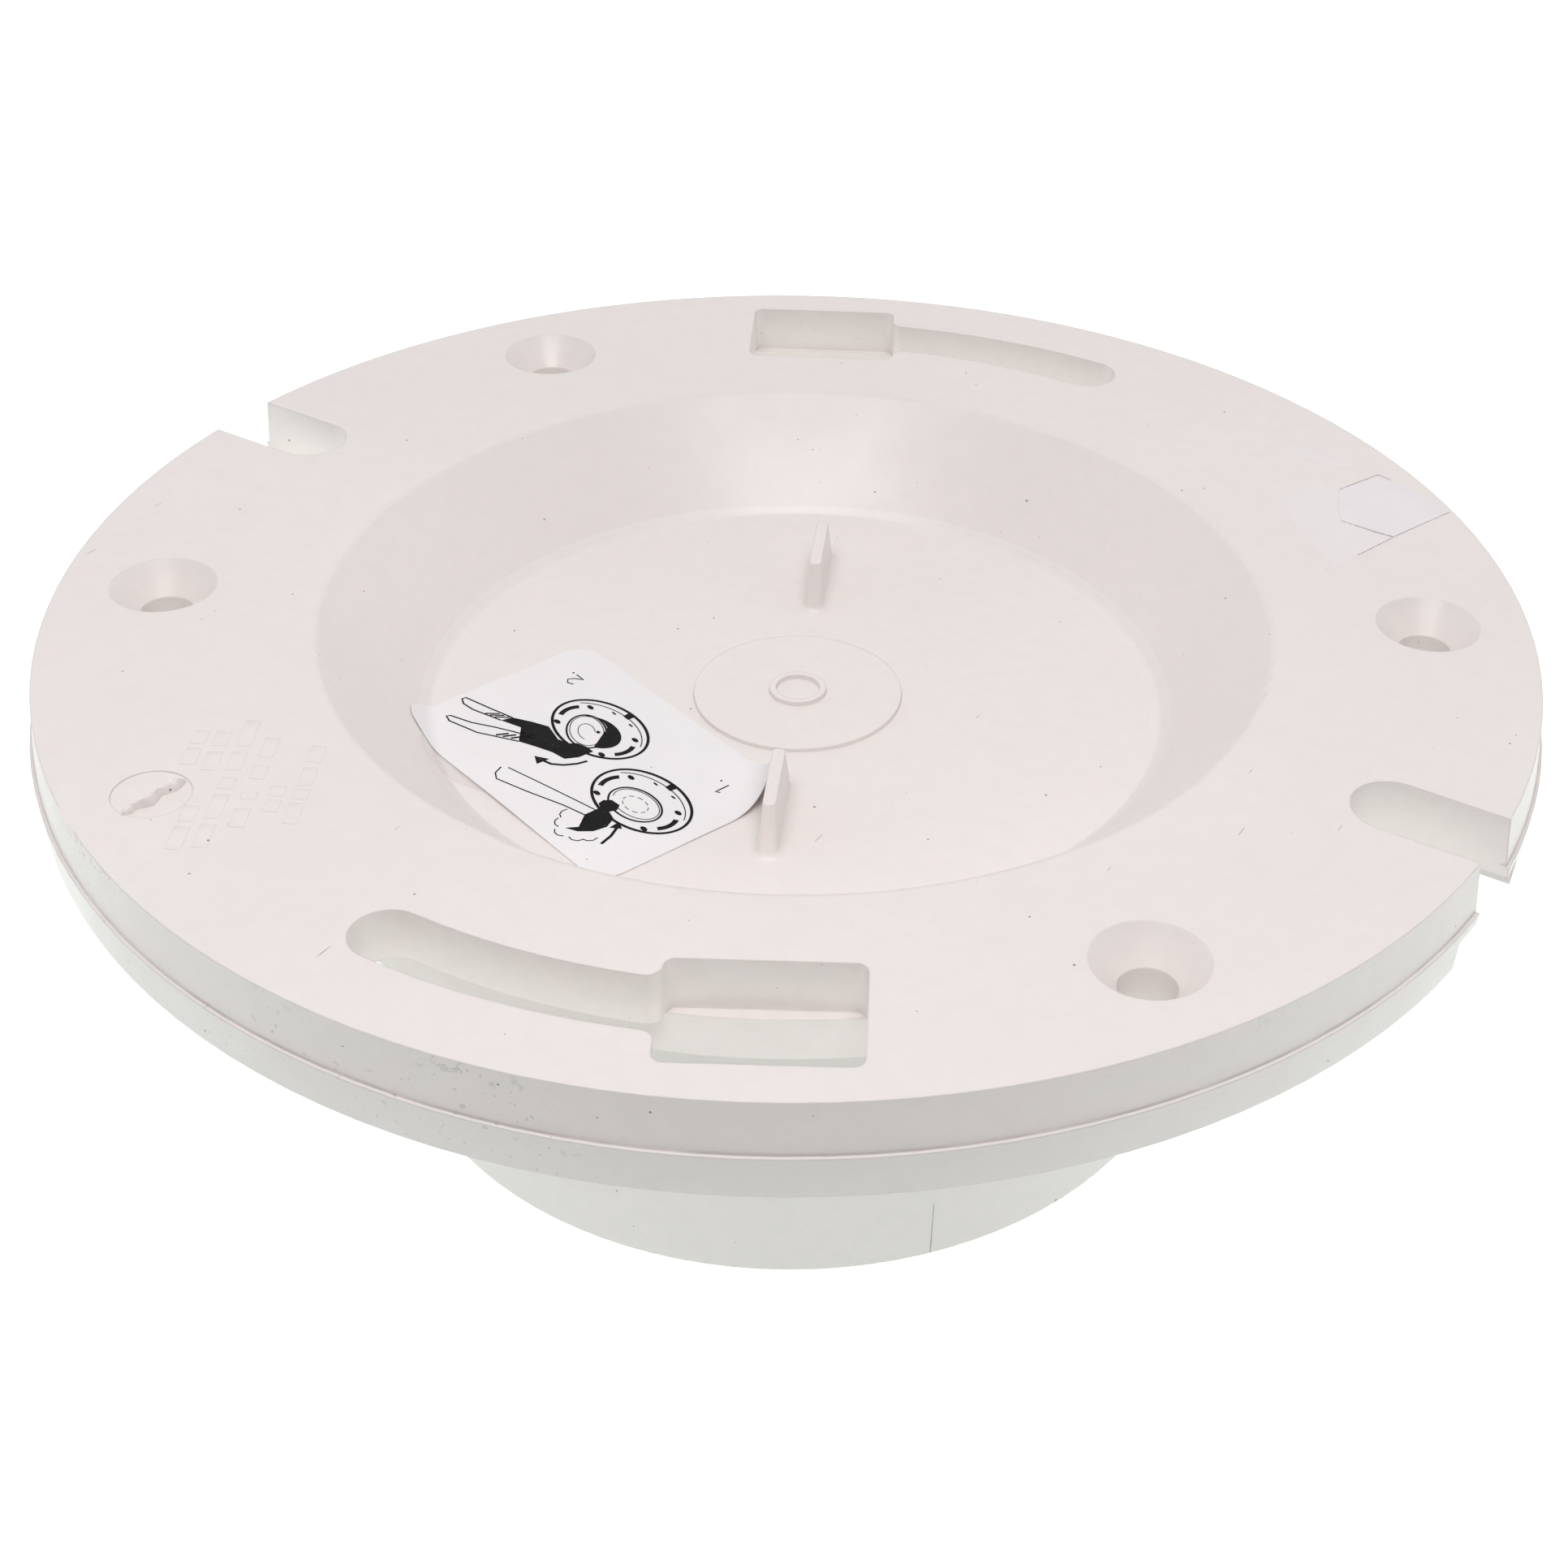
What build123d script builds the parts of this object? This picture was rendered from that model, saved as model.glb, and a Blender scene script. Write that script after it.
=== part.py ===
"""Plastic closet flange with a knock-out test plate, for 3 in and 4 in drain pipe.

Millimetres, +Z up. The origin is on the pipe axis at the hub's lower end.
+X runs through the two open notches and +Y through the seats of the closet bolts.
"""

import os
from math import cos, hypot, radians, sin

from build123d import *

os.makedirs("parts", exist_ok=True)

# Overall sizes
overall_height = 60.5
flange_diameter = 177.8

# Flange: an upper plate, and a skirt below the moulding's parting line
plate_thickness = 6.3
skirt_depth = 5.2
plate_flare = 0.42
parting_ledge = 0.42
parting_edge_radius = 0.2
skirt_taper = 0.45
skirt_wall = 6.2
rim_edge_radius = 0.35

# Bowl and hub
bowl_mouth_radius = 57.3
bowl_depth = 12.9
bowl_wall = 6.4
bowl_lip_radius = 1.0
hub_radius = 51.0
hub_edge = 0.7
socket_radius = 44.6
socket_lead_in = 0.9
pipe_stop_height = 2.4

# Knock-out test plate
test_plate_crease_radius = 44.8
test_plate_thickness = 3.0
test_plate_clearance = 0.08
test_plate_seat_width = 3.2
test_plate_cove_radius = 0.6
test_plate_cove_height = 0.3
pad_radius = 12.8
pad_height = 0.45
gate_ring_radius = 3.5
gate_ring_wall = 0.8
gate_ring_height = 0.55
fin_angle = 116.8
fin_inner_radius = 19.3
fin_length = 15.1
fin_end_slope = 1.9
fin_height = 6.2
fin_foot_thickness = 2.5
fin_top_thickness = 1.5
fin_root_radius = 1.2

# Channel under the flange, between an inner ring wall and the skirt
channel_inner_radius = 69.7
channel_wall = 4.4
gusset_count = 12
gusset_thickness = 2.2
gusset_bite = 1.0

# Closet bolt slots: a key opening, and a curved slot to the bolt's seat
bolt_circle_diameter = 151.8
key_angle = 120.0
key_sweep = 30.0
key_width = 20.4
key_depth = 15.5
bolt_slot_width = 8.0

# Open notches in the rim
notch_width = 9.45
notch_seat_radius = 77.0
notch_head_room = 4.2
notch_pad_margin = 3.0
notch_pad_depth = 1.4

# Floor screws
screw_circle_diameter = 153.0
screw_angle = 30.0
screw_hole_diameter = 6.35
screw_head_diameter = 12.7
screw_head_angle = 82
screw_boss_radius = 6.9

# Moulding gate in the top of the rim
gate_x = -36.6
gate_y = -70.8
gate_radius = 4.3
gate_depth = 0.12

# Papers
paper_thickness = 0.25
label_length = 41.6
label_width = 27.6
label_corner_radius = 3.0
label_x = -13.0
label_y = -24.9
label_angle = -18.0
label_edge_clearance = 1.8
label_fin_clearance = 1.0

# Heights and radii worked out from the sizes above
top_z = overall_height
flange_radius = flange_diameter / 2
parting_z = top_z - plate_thickness
skirt_z = parting_z - skirt_depth
parting_radius = flange_radius + plate_flare
skirt_top_radius = parting_radius + parting_ledge
skirt_bottom_radius = skirt_top_radius - skirt_taper
skirt_inner_radius = skirt_bottom_radius - skirt_wall
bowl_floor_z = top_z - bowl_depth
bowl_slope = (bowl_mouth_radius - test_plate_crease_radius) / bowl_depth
cove_z = bowl_floor_z + test_plate_cove_height
test_plate_radius = test_plate_crease_radius + bowl_slope * test_plate_cove_height
recess_radius = test_plate_radius + test_plate_clearance
shoulder_z = bowl_floor_z - test_plate_thickness
pipe_stop_radius = test_plate_crease_radius - test_plate_seat_width
pipe_stop_z = shoulder_z - pipe_stop_height
bowl_under_radius = bowl_mouth_radius - bowl_slope * plate_thickness + bowl_wall
hub_top_z = parting_z - (bowl_under_radius - hub_radius) / bowl_slope
channel_foot_radius = channel_inner_radius - channel_wall
bolt_circle_radius = bolt_circle_diameter / 2
key_shoulder = (key_depth - bolt_slot_width) / 2
key_corner_radius = 0.35 * key_shoulder
key_mouth_radius = 0.42 * key_shoulder


# Flange body: rim, bowl and hub moulded as one piece
with BuildPart() as flange_body:
    with BuildSketch(Plane.XZ) as section:
        with BuildLine():
            Polyline(
                (recess_radius, shoulder_z),
                (recess_radius, cove_z + bowl_slope * test_plate_clearance),
                (bowl_mouth_radius, top_z),
                (flange_radius, top_z),
                (parting_radius, parting_z),
                (skirt_top_radius, parting_z),
                (skirt_bottom_radius, skirt_z),
                (skirt_inner_radius, skirt_z),
                (skirt_inner_radius, parting_z),
                (channel_inner_radius, parting_z),
                (channel_inner_radius, skirt_z),
                (channel_foot_radius, skirt_z),
                (channel_foot_radius, parting_z),
                (bowl_under_radius, parting_z),
                (hub_radius, hub_top_z),
                (hub_radius, hub_edge),
                (hub_radius - hub_edge, 0),
                (socket_radius + socket_lead_in, 0),
                (socket_radius, 2 * socket_lead_in),
                (socket_radius, pipe_stop_z),
                (pipe_stop_radius, pipe_stop_z),
                (pipe_stop_radius, shoulder_z),
                close=True,
            )
        make_face()
        corners = section.vertices()
        fillet(corners.sort_by_distance((bowl_mouth_radius, top_z))[0], bowl_lip_radius)
        fillet(corners.sort_by_distance((flange_radius, top_z))[0], rim_edge_radius)
        fillet(corners.sort_by_distance((skirt_top_radius, parting_z))[0], parting_edge_radius)
    revolve(axis=Axis.Z)

    # Gussets from the hub out to the channel's inner wall
    with BuildPart(mode=Mode.PRIVATE) as gusset:
        with BuildSketch(Plane.XZ):
            with BuildLine():
                Polyline(
                    (bowl_under_radius - gusset_bite, parting_z),
                    (channel_foot_radius + gusset_bite, parting_z),
                    (channel_foot_radius + gusset_bite, skirt_z),
                    (hub_radius - gusset_bite, hub_top_z),
                    close=True,
                )
            make_face()
        extrude(amount=gusset_thickness / 2, both=True)
    with PolarLocations(0, gusset_count):
        add(gusset.part)

    # Screw bosses across the channel
    screw_x = screw_circle_diameter * cos(radians(screw_angle))
    screw_y = screw_circle_diameter * sin(radians(screw_angle))
    with BuildSketch(Plane.XY.offset(parting_z)):
        with GridLocations(screw_x, screw_y, 2, 2):
            Circle(screw_boss_radius)
    extrude(amount=-skirt_depth)
    with Locations((0, 0, top_z)):
        with GridLocations(screw_x, screw_y, 2, 2):
            CounterSinkHole(
                screw_hole_diameter / 2,
                screw_head_diameter / 2,
                depth=plate_thickness + skirt_depth,
                counter_sink_angle=screw_head_angle,
            )

    # Distance from the middle of the nearer key opening, to pick its corners by
    key_half_diagonal = hypot(key_depth, key_width) / 2
    key_mouth_distance = hypot(bolt_slot_width, key_width) / 2

    def to_key(shape):
        spot = Vector(shape.center().X, shape.center().Y)
        out = Vector(bolt_circle_radius, 0).rotate(Axis.Z, key_angle)
        return min((spot - out).length, (spot + out).length)

    # Key openings and the curved slots that lead to the closet bolts' seats
    with BuildSketch(Plane.XY.offset(top_z)) as keys:
        with BuildLine(mode=Mode.PRIVATE) as bolt_path:
            CenterArc((0, 0), bolt_circle_radius, key_angle, -key_sweep)
        with PolarLocations(0, 2):
            SlotArc(bolt_path.wires()[0], bolt_slot_width)
        with PolarLocations(bolt_circle_radius, 2, start_angle=key_angle):
            Rectangle(key_depth, key_width)
        key_corners = [
            vertex
            for vertex in keys.vertices()
            if abs(to_key(vertex) - key_half_diagonal) < key_shoulder / 4
        ]
        fillet(key_corners, key_corner_radius)
    extrude(amount=-plate_thickness, mode=Mode.SUBTRACT)
    key_mouths = [
        edge
        for edge in flange_body.edges(Select.LAST).filter_by(Axis.Z)
        if key_mouth_distance - key_shoulder / 8 < to_key(edge) < key_mouth_distance + key_shoulder / 8
    ]
    fillet(key_mouths, key_mouth_radius)

    # Open notches through a thicker part of the plate, wider below it for a bolt's head
    notch_run = flange_radius
    with BuildSketch(Plane.XY.offset(parting_z)):
        with PolarLocations(notch_seat_radius + notch_run / 2, 2):
            SlotCenterToCenter(notch_run, notch_width + 2 * notch_pad_margin)
        Circle(skirt_inner_radius + skirt_wall / 2, mode=Mode.INTERSECT)
    extrude(amount=-notch_pad_depth)
    with BuildSketch(Plane.XY.offset(top_z)):
        with PolarLocations(notch_seat_radius + notch_run / 2, 2):
            SlotCenterToCenter(notch_run, notch_width)
    extrude(amount=-plate_thickness - notch_pad_depth, mode=Mode.SUBTRACT)
    with BuildSketch(Plane.XY.offset(parting_z - notch_pad_depth)):
        with PolarLocations(notch_seat_radius + notch_run / 2, 2):
            SlotCenterToCenter(notch_run, notch_width + 2 * notch_head_room)
    extrude(amount=notch_pad_depth - skirt_depth, mode=Mode.SUBTRACT)

    # Shallow recess where the moulding's gate was broken off
    with BuildSketch(Plane.XY.offset(top_z)):
        with Locations((gate_x, gate_y)):
            Circle(gate_radius)
    extrude(amount=-gate_depth, mode=Mode.SUBTRACT)
flange_body.part.label = "flange_body"
export_step(flange_body.part, "parts/flange_body.step")


# Test plate: broken out with a hammer and pliers once the pipework has been tested
with BuildPart() as test_plate:
    with BuildSketch(Plane.XZ) as section:
        with BuildLine():
            Polyline(
                (0, shoulder_z),
                (test_plate_radius, shoulder_z),
                (test_plate_radius, cove_z),
                (test_plate_crease_radius, bowl_floor_z),
                (0, bowl_floor_z),
                close=True,
            )
        make_face()
        crease = section.vertices().sort_by_distance((test_plate_crease_radius, bowl_floor_z))[0]
        fillet(crease, test_plate_cove_radius)
    revolve(axis=Axis.Z)

    # Pad and gate ring in the middle
    with BuildSketch(Plane.XY.offset(bowl_floor_z)):
        Circle(pad_radius)
    extrude(amount=pad_height)
    with BuildSketch(Plane.XY.offset(bowl_floor_z + pad_height)):
        Circle(gate_ring_radius)
        Circle(gate_ring_radius - gate_ring_wall, mode=Mode.SUBTRACT)
    extrude(amount=gate_ring_height)

    # Two upright fins for the pliers, tapered to leave the mould
    for turn in (fin_angle, fin_angle + 180):
        outward = Vector(cos(radians(turn)), sin(radians(turn)))
        foot_middle = outward * (fin_inner_radius + fin_length / 2)
        foot_plane = Plane(
            origin=(foot_middle.X, foot_middle.Y, bowl_floor_z),
            x_dir=outward,
            z_dir=(0, 0, 1),
        )
        with BuildSketch(foot_plane):
            RectangleRounded(fin_length, fin_foot_thickness, 0.4 * fin_foot_thickness)
        with BuildSketch(foot_plane.offset(fin_height)):
            RectangleRounded(
                fin_length - 2 * fin_end_slope, fin_top_thickness, 0.4 * fin_top_thickness
            )
        loft()
    fin_roots = [
        edge
        for edge in test_plate.edges().filter_by_position(
            Axis.Z, bowl_floor_z - 0.01, bowl_floor_z + 0.01
        )
        if pad_radius + 1 < Vector(edge.center().X, edge.center().Y).length
        and Vector(edge.center().X, edge.center().Y).length < test_plate_crease_radius - 3
    ]
    fillet(fin_roots, fin_root_radius)
test_plate.part.label = "test_plate"
export_step(test_plate.part, "parts/test_plate.step")


# Instruction label lying on the test plate, cut short of the fin it leans on
with BuildPart() as instruction_label:
    with BuildSketch(Plane.XY.offset(bowl_floor_z)):
        with Locations(Location((label_x, label_y), label_angle)):
            RectangleRounded(label_length, label_width, label_corner_radius)
        Circle(test_plate_crease_radius - label_edge_clearance, mode=Mode.INTERSECT)
        fin_room = fin_foot_thickness + 2 * (fin_root_radius + label_fin_clearance)
        with PolarLocations(fin_inner_radius + fin_length / 2, 1, start_angle=fin_angle + 180):
            Rectangle(fin_length + 2 * fin_room, fin_room, mode=Mode.SUBTRACT)
    extrude(amount=paper_thickness)
instruction_label.part.label = "instruction_label"
export_step(instruction_label.part, "parts/instruction_label.step")


# Remnant of a torn sticker on top of the rim
with BuildPart() as label_remnant:
    with BuildSketch(Plane.XY.offset(top_z)):
        with BuildLine():
            Polyline(
                (37.9, 57.6),
                (40.0, 63.5),
                (46.7, 70.7),
                (50.1, 69.7),
                (58.3, 66.2),
                (54.7, 56.1),
                (51.2, 44.6),
                (43.0, 51.5),
                close=True,
            )
        make_face()
    extrude(amount=paper_thickness)
label_remnant.part.label = "label_remnant"
export_step(label_remnant.part, "parts/label_remnant.step")
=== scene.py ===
import math
import random

import bmesh
import bpy
from mathutils import Matrix, Vector


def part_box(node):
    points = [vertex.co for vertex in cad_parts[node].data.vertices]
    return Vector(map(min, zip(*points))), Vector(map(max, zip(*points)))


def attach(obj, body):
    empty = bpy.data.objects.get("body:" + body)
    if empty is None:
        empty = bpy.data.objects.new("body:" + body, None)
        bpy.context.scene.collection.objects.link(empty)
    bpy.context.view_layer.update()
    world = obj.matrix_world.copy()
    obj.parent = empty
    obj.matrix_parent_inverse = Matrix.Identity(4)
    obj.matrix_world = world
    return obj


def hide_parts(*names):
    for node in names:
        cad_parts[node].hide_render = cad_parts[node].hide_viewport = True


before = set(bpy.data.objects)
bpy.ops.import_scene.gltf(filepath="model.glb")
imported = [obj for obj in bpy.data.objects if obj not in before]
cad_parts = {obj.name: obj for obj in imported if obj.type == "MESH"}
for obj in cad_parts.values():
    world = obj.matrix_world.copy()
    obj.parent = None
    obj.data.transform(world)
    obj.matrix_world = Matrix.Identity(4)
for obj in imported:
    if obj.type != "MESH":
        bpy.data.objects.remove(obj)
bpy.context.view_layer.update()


# Flange body: rim, bowl and hub in one injection moulding of white PVC. The mould leaves a
# fine grain, slow flow marks and black flecks of burnt resin. A patchy painted shade darkens the
# corner above the ledge at the parting line, and the rim's upper edge is scuffed from handling.
flange_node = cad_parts["flange_body"]
MM = 0.001
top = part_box("flange_body")[1].z
plate_thickness = 6.3 * MM
parting_z = top - plate_thickness
rim_radius = 88.9 * MM
bowl_mouth_radius = 57.3 * MM
bowl_depth = 12.9 * MM
crease_radius = 44.8 * MM
wall_slope = (bowl_mouth_radius - crease_radius) / bowl_depth
floor_z = top - bowl_depth
pvc_white = (0.815, 0.765, 0.748)
fleck_brown = (0.16, 0.13, 0.11)


class Recipe:
    """A node material that is built up one step at a time."""

    def __init__(self, name):
        self.material = bpy.data.materials.new(name)
        self.material.use_nodes = True
        self.tree = self.material.node_tree
        self.shader = self.tree.nodes["Principled BSDF"]
        self.place = self.tree.nodes.new("ShaderNodeTexCoord").outputs["Object"]

    def link(self, source, target):
        self.tree.links.new(source, target)

    def math(self, kind, first, second=0.0):
        node = self.tree.nodes.new("ShaderNodeMath")
        node.operation = kind
        for socket, value in zip(node.inputs, (first, second)):
            if isinstance(value, float):
                socket.default_value = value
            else:
                self.link(value, socket)
        return node.outputs["Value"]

    def stretched(self, scale, turn=0.0):
        node = self.tree.nodes.new("ShaderNodeMapping")
        node.inputs["Scale"].default_value = scale
        node.inputs["Rotation"].default_value = (0.35 * turn, 0.2 * turn, turn)
        self.link(self.place, node.inputs["Vector"])
        return node.outputs["Vector"]

    def noise(self, scale, detail=2.0, where=None):
        node = self.tree.nodes.new("ShaderNodeTexNoise")
        node.inputs["Scale"].default_value = scale
        node.inputs["Detail"].default_value = detail
        self.link(where or self.place, node.inputs["Vector"])
        return node.outputs["Fac"]

    def step(self, value, low, high, start=0.0, end=1.0):
        node = self.tree.nodes.new("ShaderNodeMapRange")
        node.interpolation_type = "SMOOTHSTEP"
        node.inputs["From Min"].default_value = low
        node.inputs["From Max"].default_value = high
        node.inputs["To Min"].default_value = start
        node.inputs["To Max"].default_value = end
        self.link(value, node.inputs["Value"])
        return node.outputs["Result"]

    def flecks(self, where, size, share):
        node = self.tree.nodes.new("ShaderNodeTexVoronoi")
        node.inputs["Scale"].default_value = 1.0
        self.link(where, node.inputs["Vector"])
        split = self.tree.nodes.new("ShaderNodeSeparateColor")
        self.link(node.outputs["Color"], split.inputs["Color"])
        grain_size = self.math("MULTIPLY", split.outputs["Green"], size)
        inside = self.math("LESS_THAN", node.outputs["Distance"], grain_size)
        chosen = self.math("LESS_THAN", split.outputs["Red"], share)
        return self.math("MULTIPLY", inside, chosen)

    def blend(self, factor, first, second):
        node = self.tree.nodes.new("ShaderNodeMix")
        node.data_type = "RGBA"
        for socket, value in zip((node.inputs[0], node.inputs[6], node.inputs[7]), (factor, first, second)):
            if isinstance(value, tuple):
                socket.default_value = (*value, 1)
            elif isinstance(value, float):
                socket.default_value = value
            else:
                self.link(value, socket)
        return node.outputs[2]

    def bump(self, height, strength, distance, edge=None):
        node = self.tree.nodes.new("ShaderNodeBump")
        node.inputs["Strength"].default_value = strength
        node.inputs["Distance"].default_value = distance
        self.link(height, node.inputs["Height"])
        if edge:
            self.link(edge, node.inputs["Normal"])
        self.link(node.outputs["Normal"], self.shader.inputs["Normal"])

    def rounded_edges(self, radius):
        node = self.tree.nodes.new("ShaderNodeBevel")
        node.samples = 4
        node.inputs["Radius"].default_value = radius
        return node.outputs["Normal"]


def shade(tint, amount):
    return tuple(amount * part for part in tint)


def moulded_pvc(name, tint, gloss, rim_scuffs_and_shade=False, solid_wall=True):
    recipe = Recipe(name)
    shader = recipe.shader
    flow = recipe.step(recipe.noise(18.0), 0.3, 0.7)
    colour = recipe.blend(flow, shade(tint, 0.975), tint)
    mottle = recipe.step(recipe.noise(420.0, 3.0), 0.35, 0.6, 0.25, 0.0)
    colour = recipe.blend(mottle, colour, shade(tint, 0.93))

    # Round flecks, then fibres lying in two directions
    specks = recipe.flecks(recipe.stretched((420, 420, 420)), 0.075, 0.3)
    colour = recipe.blend(recipe.math("MULTIPLY", specks, 0.75), colour, fleck_brown)
    for turn, share in ((0.5, 0.1), (2.1, 0.08)):
        fibres = recipe.flecks(recipe.stretched((900, 70, 900), turn), 0.075, share)
        fibres = recipe.math("MULTIPLY", fibres, 0.5)
        colour = recipe.blend(fibres, colour, fleck_brown)

    if rim_scuffs_and_shade:
        split = recipe.tree.nodes.new("ShaderNodeSeparateXYZ")
        recipe.link(recipe.place, split.inputs["Vector"])
        height = split.outputs["Z"]
        across = recipe.math("POWER", split.outputs["X"], 2.0)
        along = recipe.math("POWER", split.outputs["Y"], 2.0)
        radius = recipe.math("SQRT", recipe.math("ADD", across, along))
        outside = recipe.math("GREATER_THAN", radius, rim_radius - 0.3 * MM)
        patchy = recipe.noise(140.0, 4.0)

        # Painted shade, in patches, in the corner above the ledge
        above = recipe.math("GREATER_THAN", height, parting_z + 0.02 * MM)
        near = recipe.step(height, parting_z + 0.15 * MM, parting_z + 0.5 * MM, 1.0, 0.0)
        line = recipe.math("MULTIPLY", recipe.math("MULTIPLY", above, near), outside)
        line = recipe.math("MULTIPLY", line, recipe.step(patchy, 0.35, 0.6, 0.0, 0.3))
        colour = recipe.blend(line, colour, shade(tint, 0.38))

        # Scuffs on the rim's outer faces, thickest near the upper edge
        low_edge = recipe.step(height, top - 3.2 * MM, top - 0.4 * MM, 0.66, 0.585)
        scuff = recipe.math("GREATER_THAN", recipe.noise(1150.0, 5.0), low_edge)
        worn = recipe.step(recipe.noise(34.0), 0.47, 0.62)
        scuff = recipe.math("MULTIPLY", recipe.math("MULTIPLY", scuff, worn), outside)
        below = recipe.math("LESS_THAN", height, top - 0.12 * MM)
        scuff = recipe.math("MULTIPLY", recipe.math("MULTIPLY", scuff, below), 0.32)
        colour = recipe.blend(scuff, colour, shade(tint, 0.35))
    recipe.link(colour, shader.inputs["Base Color"])

    smear = recipe.step(recipe.noise(60.0, 4.0), 0.3, 0.75, gloss - 0.05, gloss + 0.09)
    recipe.link(smear, shader.inputs["Roughness"])
    edges = recipe.rounded_edges(0.3 * MM) if solid_wall else None
    recipe.bump(recipe.noise(1500.0), 0.12, 0.00006, edges)
    shader.inputs["Subsurface Weight"].default_value = 0.3 if solid_wall else 0.0
    shader.inputs["Subsurface Radius"].default_value = (0.0026, 0.0021, 0.0017)
    shader.inputs["IOR"].default_value = 1.5
    return recipe.material


def finish_node(node, material):
    for place in node.material_slots:
        place.material = material


def new_piece(name, points, faces, material, body):
    mesh = bpy.data.meshes.new(name)
    mesh.from_pydata(points, [], faces)
    work = bmesh.new()
    work.from_mesh(mesh)
    bmesh.ops.recalc_face_normals(work, faces=work.faces)
    work.to_mesh(mesh)
    work.free()
    mesh.materials.append(material)
    mesh.shade_smooth()
    mesh.set_sharp_from_angle(angle=math.radians(35))
    piece = bpy.data.objects.new(name, mesh)
    bpy.context.collection.objects.link(piece)
    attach(piece, body)
    return piece


flange_plastic = moulded_pvc("flange_moulded_pvc", pvc_white, 0.36, rim_scuffs_and_shade=True)
mark_plastic = moulded_pvc("rim_marks_moulded_pvc", pvc_white, 0.36, solid_wall=False)
finish_node(flange_node, flange_plastic)


# Gate mark: the stub left in its round recess where the sprue was broken off by hand, a rough
# ridge with torn ends, and the faint witness ring of the mould's insert around it.
gate_middle = Vector((-36.6, -70.8, 0)) * MM
stub_middle = Vector((-35.9, -71.2, 0)) * MM
gate_angle = math.radians(82.5)
gate_length = 8.5 * MM
gate_width = 1.7 * MM
stub_height = 1.25 * MM
gate_recess = 0.12 * MM
witness_radius = 9.2 * MM
dice = random.Random(11)
gate_along = Vector((math.cos(gate_angle), math.sin(gate_angle), 0))
gate_across = Vector((-gate_along.y, gate_along.x, 0))
stub_rows, stub_lanes = 44, 10
points, faces = [], []
for row in range(stub_rows + 1):
    travel = row / stub_rows
    taper = min(1.0, 7 * travel, 7 * (1 - travel)) ** 0.6
    wander = 0.16 * MM * math.sin(11 * travel) + 0.07 * MM * dice.uniform(-1, 1)
    half = 0.5 * gate_width * taper * (0.8 + 0.25 * math.sin(17 * travel + 1))
    torn = 0.72 + 0.16 * math.sin(13 * travel + 2) + 0.14 * dice.random()
    for lane in range(stub_lanes + 1):
        side = 2 * lane / stub_lanes - 1
        swell = min(1.0, 3.2 * (1 + side)) ** 0.7 * (1 - max(0.0, side + 0.25) / 1.25) ** 0.8
        rough = dice.uniform(-0.06, 0.06)
        height = -gate_recess + 0.02 * MM + stub_height * (torn + rough) * swell * taper
        along, across = gate_length * (travel - 0.5), wander + half * side
        spot = stub_middle + gate_along * along + gate_across * across
        points.append(Vector((spot.x, spot.y, top + height)))
for row in range(stub_rows):
    for lane in range(stub_lanes):
        corner = row * (stub_lanes + 1) + lane
        faces.append((corner, corner + 1, corner + stub_lanes + 2, corner + stub_lanes + 1))
underside = len(points)
for row in range(stub_rows + 1):
    left, right = points[row * (stub_lanes + 1)], points[row * (stub_lanes + 1) + stub_lanes]
    for spot in (left, right):
        points.append(Vector((spot.x, spot.y, top - gate_recess - 0.02 * MM)))
for row in range(stub_rows):
    near, ahead = underside + 2 * row, underside + 2 * row + 2
    first, last = row * (stub_lanes + 1), row * (stub_lanes + 1) + stub_lanes
    faces.append((near, ahead, ahead + 1, near + 1))
    faces.append((first, first + stub_lanes + 1, ahead, near))
    faces.append((last, near + 1, ahead + 1, last + stub_lanes + 1))
for row, near in ((0, underside), (stub_rows, underside + 2 * stub_rows)):
    start = row * (stub_lanes + 1)
    faces.append((*range(start, start + stub_lanes + 1), near + 1, near))
new_piece("gate_stub", points, faces, mark_plastic, "flange")


def turned_ring(name, section, middle, steps, material, body):
    """A closed ring: the section's (radius, height) points turned about an upright axis."""
    points, faces = [], []
    count = len(section)
    for step in range(steps):
        angle = 2 * math.pi * step / steps
        for radius, height in section:
            points.append(middle + Vector((radius * math.cos(angle), radius * math.sin(angle), height)))
    for step in range(steps):
        for edge in range(count):
            here = step * count + edge
            there = step * count + (edge + 1) % count
            ahead = ((step + 1) % steps) * count
            faces.append((here, there, ahead + (edge + 1) % count, ahead + edge))
    return new_piece(name, points, faces, material, body)


witness_steps = 120
witness_section = [
    (witness_radius - 0.3 * MM, -0.01 * MM),
    (witness_radius - 0.1 * MM, 0.012 * MM),
    (witness_radius + 0.1 * MM, 0.012 * MM),
    (witness_radius + 0.3 * MM, -0.01 * MM),
]
turned_ring(
    "gate_witness_ring",
    witness_section,
    gate_middle + Vector((0, 0, top)),
    witness_steps,
    mark_plastic,
    "flange",
)


# Blank raised bars moulded on the rim beside the gate, standing in six rows where such
# a part carries its size and material marks. They say nothing here.
bar_height = 0.13 * MM
bar_width = 1.75 * MM
rows_turn = math.radians(28.75)
row_marks = [
    (-63.8, [(-38.8, -35.6), (-34.8, -32.2)]),
    (-61.3, [(-54.1, -50.0), (-49.2, -46.2), (-39.7, -36.2), (-35.0, -32.2)]),
    (-58.7, [(-53.6, -49.4), (-48.4, -44.0), (-43.0, -40.8), (-39.6, -36.0), (-34.9, -29.8)]),
    (-55.8, [(-49.8, -46.4), (-44.8, -43.4), (-41.0, -38.4), (-36.8, -33.0)]),
    (-53.0, [(-46.8, -44.6), (-44.0, -42.0)]),
    (-50.4, [(-48.8, -45.0), (-44.4, -42.4), (-41.8, -38.4), (-37.4, -34.2)]),
]
bar_crest = [(0.5, 0.0), (0.46, 0.8), (0.4, 1.0), (-0.4, 1.0), (-0.46, 0.8), (-0.5, 0.0)]
corners = len(bar_crest)
points, faces = [], []
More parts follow.
